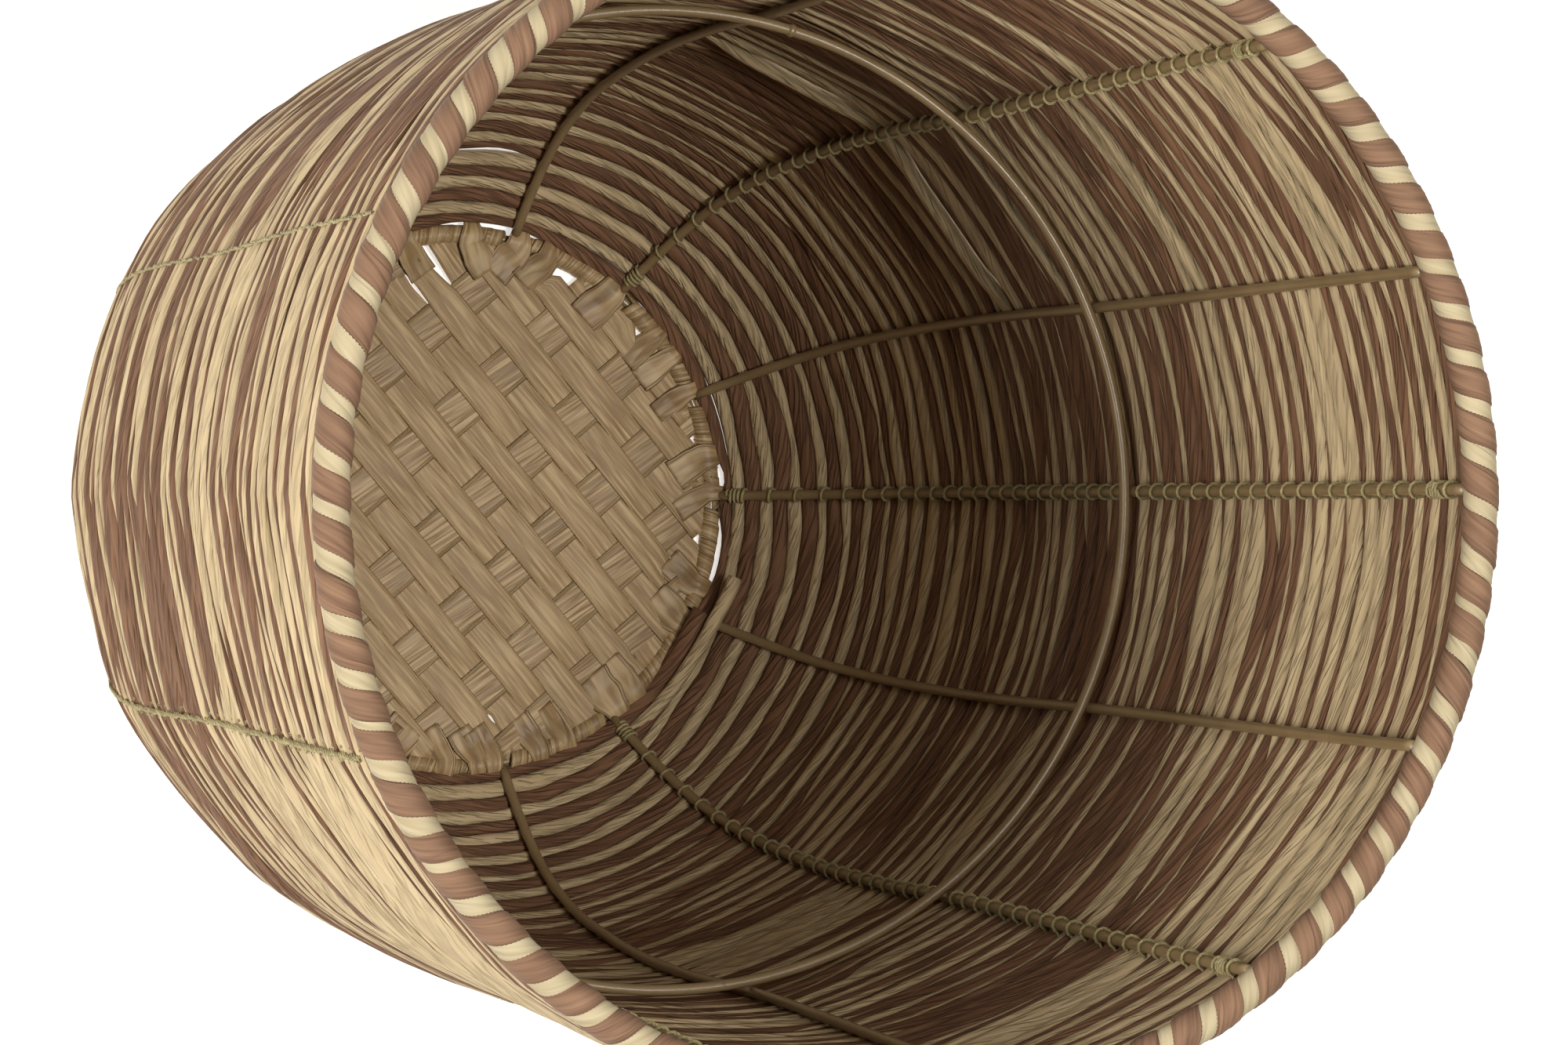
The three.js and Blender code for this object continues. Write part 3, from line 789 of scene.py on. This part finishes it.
def strand(name, low, high, lead, last, lift, material, seed):
    """Rolls one strand between its borders. lead is how many steps it starts early, and lift
    lists degrees from the start and how far it is raised and drawn inwards there."""
    low, high = (np.pad(v[:last], (lead, 0), "edge") for v in (low, high))
    bend = START_ANGLE - 2 * np.pi * (np.arange(len(low)) - lead) / STEPS
    pressed = np.pad(flat[:last], (lead, 0), "edge") * ramp(low, 50, 60)
    if material is brown:
        where, height, reach, tall, much = SLIT
        low = low + much * hill(apart(bend, where), reach, 4) * hill(low - height, tall, 2)
    smooth = np.array([0.25, 0.5, 0.25])
    low, high = (np.convolve(np.pad(v, 1, "edge"), smooth, "valid") for v in (low, high))
    gap, middle, count = high - low, (low + high) / 2, len(low)
    wide, deep = half_sizes(gap, low, bend, seed)
    uneven = 0.5 * wander(count, 5, seed + 5) + (0.15 if material is brown else 0.0)
    off = distance_out(gap, low, bend, pressed, uneven, seed)
    if material is cream:
        for where, height, reach, tall, much in PUSHED:
            off -= much * hill(apart(bend, where), reach, 4) * hill(middle - height, tall, 4)
    at = np.degrees(START_ANGLE - bend)
    middle = middle + np.interp(at, lift[0], lift[1])
    line, out = on_wall(middle, off + np.interp(at, lift[0], lift[2]), bend)
    lean = 0.08 + 0.27 * wander(count, 15, seed + 2) + 0.14 * wander(count, 2.6, seed + 3)
    slope = side(middle)[2]
    across = np.stack([np.cos(slope) * np.cos(bend), np.cos(slope) * np.sin(bend),
                       np.sin(slope)], 1)
    bm = bmesh.new()
    length = roll(bm, line, out + across * lean[:, None], wide, deep, 10, 2.2)
    print(name, round(length / 1000, 1), "m long")
    piece(name, bm, material, "winding", "wall_winding_foot", "wall_winding_belly",
          "wall_winding_upper")


lift_brown = ([0, 1, 8, 15, 19], [1.5, 1, 0.5, 0, 0], [-8.2, -8.8, -5.5, -1.2, 0])
lift_cream = ([-8, -6, 1, 12, 20, 28], [5.5, 5, 3, 1, 0, 0], [-10.5, -11, -11, -7, -2, 0])
strand("strand_brown", lower, border, 0, len(g) - 12, lift_brown, brown, 31)
strand("strand_cream", border, upper, 4, 47 * STEPS - 6, lift_cream, cream, 41)

# %% [markdown]
# The wrapped rim
#
# Over the top ring both strands are wound as a spiral, tight against each other. The brown
# one is the thicker, so the rim's outline is gently scalloped. By hand the laps are never
# quite evenly spaced, and where they lie further apart both strands are spread wider. One
# striped tube would look alike from afar, but only real laps give the rim its scallops.

# %% A line round a ring
def round_ring(radius, height, tube, about, place):
    """A line wound round a ring at tube mm from its middle, and the direction outwards.
    about is how far it has gone round the rod, place how far round the basket."""
    r = radius + tube * np.cos(about)
    line = np.stack([r * np.cos(place), r * np.sin(place), height + tube * np.sin(about)], 1)
    out = np.stack([np.cos(about) * np.cos(place), np.cos(about) * np.sin(place),
                    np.sin(about)], 1)
    return line, out


print("it starts at", round_ring(TOP_R, TOP_Z, 4.0, np.zeros(1), np.zeros(1))[0][0])

# %% [markdown]
# Each strand goes 73 times round the ring. The brown one starts first and the cream one
# half a lap later, and the last point of each meets its first.

# %% Rim wrap
RIM_TURNS, RIM_STEPS = 73, 28
RIM_PITCH = 2 * np.pi / RIM_TURNS  # radians round the basket in one lap
RIM_START = 0.02
LAP_DRIFT = 0.13  # how far laps lie off their even place, as a share of a lap


def wrap(bm, tube, start, wide, deep, seed):
    """One strand wound all round the rim."""
    step = np.arange(RIM_TURNS * RIM_STEPS + 1)
    count, last = len(step), step[-1]
    about = 2 * np.pi * step / RIM_STEPS
    uneven = (LAP_DRIFT * wander(count, 40, 5) + 0.02 * wander(count, 20, seed)) * RIM_PITCH
    uneven *= np.minimum(1, np.minimum(step, last - step) / RIM_STEPS)
    stretch = np.gradient(uneven) * RIM_STEPS / RIM_PITCH
    wide = wide * (1 + 0.9 * np.maximum(stretch - 0.05, 0))
    swell = 1 + 0.06 * wander(count, 19, seed + 1)
    place = about / RIM_TURNS + start + uneven
    line, out = round_ring(TOP_R + 0.6, TOP_Z, tube, about, place)
    line[-1] = line[0]
    roll(bm, line, out, wide * swell, deep * swell, 10, 2.3, closed=True)


for name, start, wide, tube, deep, seed, finish in (
    ("rim_brown", RIM_START, 5.2, 4.2, 2.0, 98, rim_brown),
    ("rim_cream", RIM_START + RIM_PITCH / 2, 4.8, 3.9, 1.7, 99, rim_cream),
):
    bm = bmesh.new()
    wrap(bm, tube, start, wide, deep, seed)
    piece(name, bm, finish, "rim", "rim_wrap")

# %% [markdown]
# The woven floor
#
# Sixteen strips lie side by side, and seven cross them at wider places. A close-set strip
# rises over one crossing strip and dips under the next, and its neighbour does the opposite.
# At the rim of the floor every strip rises to the base ring. A picture of a weave on a disc
# would be flat and let no light through, so each strip is a piece. Here and there two stand
# a little apart and leave a hole, which is cut out of both strips' edges.

# %% Holes between the strips
# Each lies between strip j and the next: j, how far along, half its length, its width.
HOLES = [(3, -79, 13, 1.8), (4, -90, 24, 5.5), (7, -49, 8, 12), (6, 55, 7, 3.2),
         (4, 80, 6, 2.6), (3, 93, 2.5, 1.8), (1, 96.5, 2.5, 1.8), (-4, 77, 3, 1.8),
         (-4, 92, 3, 2), (8, -3, 6, 8)]


def cut(x, border):
    """How far the edge of a strip draws back from a border with holes in it."""
    back = 0 * x
    for j, centre, reach, width in HOLES:
        if j == border:
            back += (width / 2 + 0.35) * np.clip(1 - np.abs(x - centre) / reach, 0, 1) ** 0.7
    return back


print(len(HOLES), "holes in the floor")

# %% [markdown]
# A strip is a thin flat section rolled along a line. It wanders a little sideways, tips a
# little, and its ends rise to the base ring.

# %% One floor strip
WARP = np.radians(-49)
WARP_DIR = np.array([math.cos(WARP), math.sin(WARP)])
WEFT_DIR = np.array([-math.sin(WARP), math.cos(WARP)])
FLOOR_Z, FLOOR_R = 3.6, 107.5
STRIP_HALF = 0.17  # half the thickness of a strip


def over_ring(x, away):
    """Rise of a strip towards the base ring, by its distance from the centre."""
    return 1.2 * ramp(np.hypot(x, away), 97, 8)


def floor_strip(bm, direction, sideways, away, wide, waves, cuts, seed):
    """A strip that runs along direction, away mm sideways from the floor's centre. waves
    gives its rise and fall along it, cuts how far its two edges draw back."""
    reach = math.sqrt(FLOOR_R**2 - min(abs(away) + 2, 105) ** 2)
    x = np.linspace(-reach, reach, int(reach / 1.4))
    low_cut, high_cut = cuts(x)
    across = away + 0.3 * wander(len(x), 14, seed) + (low_cut - high_cut) / 2
    z = FLOOR_Z + waves(x) * (1 - ramp(np.abs(x) / reach, 0.85, 0.15)) + over_ring(x, across)
    line = np.zeros((len(x), 3))
    line[:, :2] = x[:, None] * direction + across[:, None] * sideways
    line[:, 2] = z + 0.06 * wander(len(x), 8, seed + 1)
    up = np.tile([0.0, 0.0, 1.0], (len(x), 1))
    up[:, :2] += sideways * (0.02 * wander(len(x), 12, seed + 2))[:, None]
    half = wide / 2 * (1 + 0.02 * wander(len(x), 12, seed + 3)) - (low_cut + high_cut) / 2
    roll(bm, line, up, half, STRIP_HALF, 10, 9.0, start=seed * 0.37)


print("the longest floor strip is", 2 * FLOOR_R, "mm")

# %% [markdown]
# The long strips do all the rising and dipping, and the cross strips lie level between
# them. A long strip's rise is a list of steps, high over one cross strip and low under the
# next, which a short moving average turns into soft waves.

# %% Floor strips
WARP_COUNT, WARP_PITCH, WARP_SHIFT, WARP_WIDE = 16, 12.6, -2, 13.3
WEFT_AT, WEFT_WIDE = [-93, -61, -28, 5, 36, 65, 92], 16.6
WAVE = 0.48  # how far a long strip rises and dips
CROSSING = 9.5  # half the length of a crossing


def over_and_under(j):
    """The rise of long strip j along its length, as a function."""
    over = [WAVE if (j + n) % 2 else -WAVE for n in range(len(WEFT_AT))]
    at = [v for c in WEFT_AT for v in (c - CROSSING, c + CROSSING)]
    up = [v for v in over for _ in (0, 1)]
    kernel = np.hanning(7) / np.hanning(7).sum()
    return lambda x: np.convolve(np.pad(np.interp(x, at, up), 3, "edge"), kernel, "valid")


for i in range(WARP_COUNT):
    j = i - 7
    bm = bmesh.new()
    floor_strip(bm, WARP_DIR, WEFT_DIR, WARP_SHIFT + WARP_PITCH * j, WARP_WIDE,
                over_and_under(j), lambda x, j=j: (cut(x, j - 1), cut(x, j)), 100 + i)
    piece(f"floor_strip_long_{i + 1:02d}", bm, strip, "strip", f"floor_warp_{i + 1:02d}")
for i, place in enumerate(WEFT_AT):
    bm = bmesh.new()
    floor_strip(bm, WEFT_DIR, WARP_DIR, place, WEFT_WIDE,
                lambda x: 0 * x, lambda x: (0 * x, 0 * x), 140 + i)
    piece(f"floor_strip_cross_{i + 1}", bm, cross, "strip", f"floor_weft_{i + 1}")

# %% [markdown]
# The base binding
#
# Between the ribs a narrow strip is wound round the base ring, as the strands are round the
# top one. It is pressed flat under the ring, where the basket stands on it.

# %% The wound strip
LAPS, LAP_STEPS = 7, 14  # in each gap between two ribs
BESIDE_RIB = math.radians(2.2)
BINDING_HALF = 0.42  # half the thickness of the wound strip

bm = bmesh.new()
for k in range(RIBS):
    a0 = RIB_ANGLE[k] + BESIDE_RIB
    a1 = RIB_ANGLE[(k + 1) % RIBS] - BESIDE_RIB + (2 * np.pi if k == RIBS - 1 else 0)
    count = LAPS * LAP_STEPS + 1
    about = 2 * np.pi * np.arange(count) / LAP_STEPS + k
    place = np.linspace(a0, a1, count) + 0.004 * wander(count, 9, 60 + k)
    tube = 3.55 + 0.25 * wander(count, 7, 80 + k)
    line, out = round_ring(RING_R, RING_Z, tube, about, place)
    line[:, 2] = np.maximum(line[:, 2], 0.45)
    roll(bm, line, out, 3.7 + 0.5 * wander(count, 9, 90 + k), BINDING_HALF, 8, 4.0,
         start=k * 0.6)
print("wound strip,", RIBS * LAPS, "laps")

# %% [markdown]
# The floor strips' ends turn over the ring, one at each rib's foot and some between. Each
# leaves the floor in the direction of its strip, bends towards the ring and is squeezed
# narrow as it goes over. The wound strip and the ends are one piece.

# %% Folded ends
END_HALF = 0.22  # half the thickness of a folded end

for k in range(3 * RIBS):
    lot = np.random.default_rng(200 + k)
    if k % 3 and lot.uniform() < 0.45:
        continue
    at = RIB_ANGLE[k // 3] + math.radians(8.6 * (k % 3) + lot.uniform(-2.5, 2.5))
    radial = np.array([math.cos(at), math.sin(at)])
    ways = [sign * way for way in (WARP_DIR, WEFT_DIR) for sign in (1, -1)]
    way = max(ways, key=lambda v: v @ radial) * 0.8 + radial * 0.2
    way /= np.linalg.norm(way)
    t = np.linspace(-17, 6.5, 18)  # mm before and past the top of the ring
    on_floor, bent = np.minimum(t + 3, 0), np.minimum(3, np.maximum(-t, 0))
    spot = RING_R * radial + on_floor[:, None] * way - bent[:, None] * radial
    spot = spot + np.maximum(t, 0)[:, None] * radial * 0.85
    # Up from the floor, over the ring and down its outside.
    z = np.interp(t, (-17, -9, -4, 0, 3, 6.5), (4.4, 4.9, 6.6, 7.6, 6.9, 4.4))
    line = np.column_stack([spot, z])
    tilt = np.interp(t, (-6, -2, 3, 7), (0, -0.4, 0.8, 1.8))
    out = np.column_stack([tilt[:, None] * radial, np.ones_like(t)])
    out[:, :2] += np.array([-math.sin(at), math.cos(at)]) * lot.uniform(-0.4, 0.4)
    half = np.interp(t, (-17, -8, 0, 6.5), (6.4, 6.2, 4.6, 3.2)) * lot.uniform(0.75, 1.3)
    half = half * (1 + 0.08 * wander(len(t), 4, 300 + k))
    roll(bm, line, out, half, END_HALF, 10, 7.0, start=k * 0.3)
piece("base_binding_strip", bm, binding, "strip", "base_binding")

# %% [markdown]
# The lashing threads
#
# Every second rib is tied to the wall by a thread: it loops round the rod between two
# pairs of rows, goes out through the wall, and runs up the outside as a twisted cord. At
# both ends of the rib it is wound round the rod a few times. One piece holds all of it.

# %% Loops round a rib
THREAD_R = 0.6
LOOP_R = ROD_R + 0.75  # from the rod's middle to the thread's
END_SIDE, END_OUT = 2.7, 7.6  # where a loop ends, outside the wall


def tangent_at(rib):
    """The level direction along the wall at a rib."""
    return np.array([-math.sin(rib), math.cos(rib), 0.0])


def tie(bm, rib, s, seed):
    """One loop round the rib: out of the wall, round the rod, and back through the wall."""
    bend = np.radians(np.linspace(-128, 128, 9))
    x = np.concatenate([[-END_SIDE], LOOP_R * np.sin(bend), [END_SIDE]])
    y = np.concatenate([[-END_OUT], LOOP_R * np.cos(bend), [-END_OUT]])
    slant = 1.2 * np.sin(np.linspace(-1.4, 1.4, len(x)))
    slant = slant + np.random.default_rng(seed).uniform(-0.5, 0.5)
    point, out = on_wall(s + slant, -y, np.full(len(x), rib))
    sideways = tangent_at(rib) * x[:, None]
    facing = sideways - out * y[:, None]
    roll(bm, point + sideways, facing + 1e-3, THREAD_R, THREAD_R, 6, start=seed * 0.05)


print("loops of", round(2 * (LOOP_R + THREAD_R), 1), "mm across")

# %% [markdown]
# The cord outside is two thinner strands that turn round each other twice for each pair of
# rows, and the coils at the rib's ends are plain helices.

# %% Cord and coils
CORD_OFF = 8.1  # from the ribs' middle line to the cord's
CORD_FROM, CORD_TO = 14.0, 556.0  # mm up the rib
CORD_WIDE, CORD_DEEP = 0.42, 0.38  # half sizes of one of its strands
COIL_R, COIL_THREAD_R, COIL_LAPS = ROD_R + 0.65, 0.62, 4


def cord(bm, rib, phase, sway):
    """One of the two strands of the cord on the outside."""
    s = np.arange(CORD_FROM, CORD_TO, 1.7)
    spin = s * (4 * np.pi / PITCH) + phase
    off = CORD_OFF + stands_out(rib, s) + 0.35 * np.cos(spin)
    point, out = on_wall(s, off, np.full_like(s, rib))
    sideways = sway * np.sin(spin) + 0.3 * np.sin(spin * 0.37)
    line = point + tangent_at(rib) * sideways[:, None]
    roll(bm, line, out, CORD_WIDE + 0.1 * np.sin(spin * 0.73), CORD_DEEP, 6, start=phase)


def coil(bm, rib, s0, pitch, seed):
    """Thread wound round the rib from s0 upwards."""
    about = np.linspace(0, 2 * np.pi * COIL_LAPS, COIL_LAPS * 10 + 1)
    s = s0 + pitch * about / (2 * np.pi)
    point, out = on_wall(s, -COIL_R * np.cos(about), np.full_like(s, rib))
    tangent = tangent_at(rib)
    line = point + tangent * (COIL_R * np.sin(about))[:, None]
    facing = tangent * np.sin(about)[:, None] - out * np.cos(about)[:, None]
    roll(bm, line, facing, COIL_THREAD_R, COIL_THREAD_R, 5, start=seed * 0.1)


print("coils of", 2 * COIL_R, "mm round the rod")

# %% [markdown]
# The ninth rib's cord hangs looser than the others and sways further from side to side.

# %% Lashing threads
LOOSE_CORD = 8
COIL_LOW, COIL_HIGH = 5.0, 545.0  # mm up the rib

for k in range(0, RIBS, 2):
    bm = bmesh.new()
    for row in range(1, 47):
        s = START + PITCH * (row + 0.02)
        if abs(s - HOOP_ALONG) > 5:  # the hoop is in the way there
            tie(bm, RIB_ANGLE[k], s, 1000 * k + row)
    sway = 1.0 if k == LOOSE_CORD else 0.45
    cord(bm, RIB_ANGLE[k], 0.0, sway)
    cord(bm, RIB_ANGLE[k], math.pi, sway)
    coil(bm, RIB_ANGLE[k], COIL_LOW, 1.7, k)
    coil(bm, RIB_ANGLE[k], COIL_HIGH, 1.9, k + 3)
    piece(f"lashing_thread_{k + 1:02d}", bm, thread, "thread", f"lashing_{k + 1:02d}")

# %% [markdown]
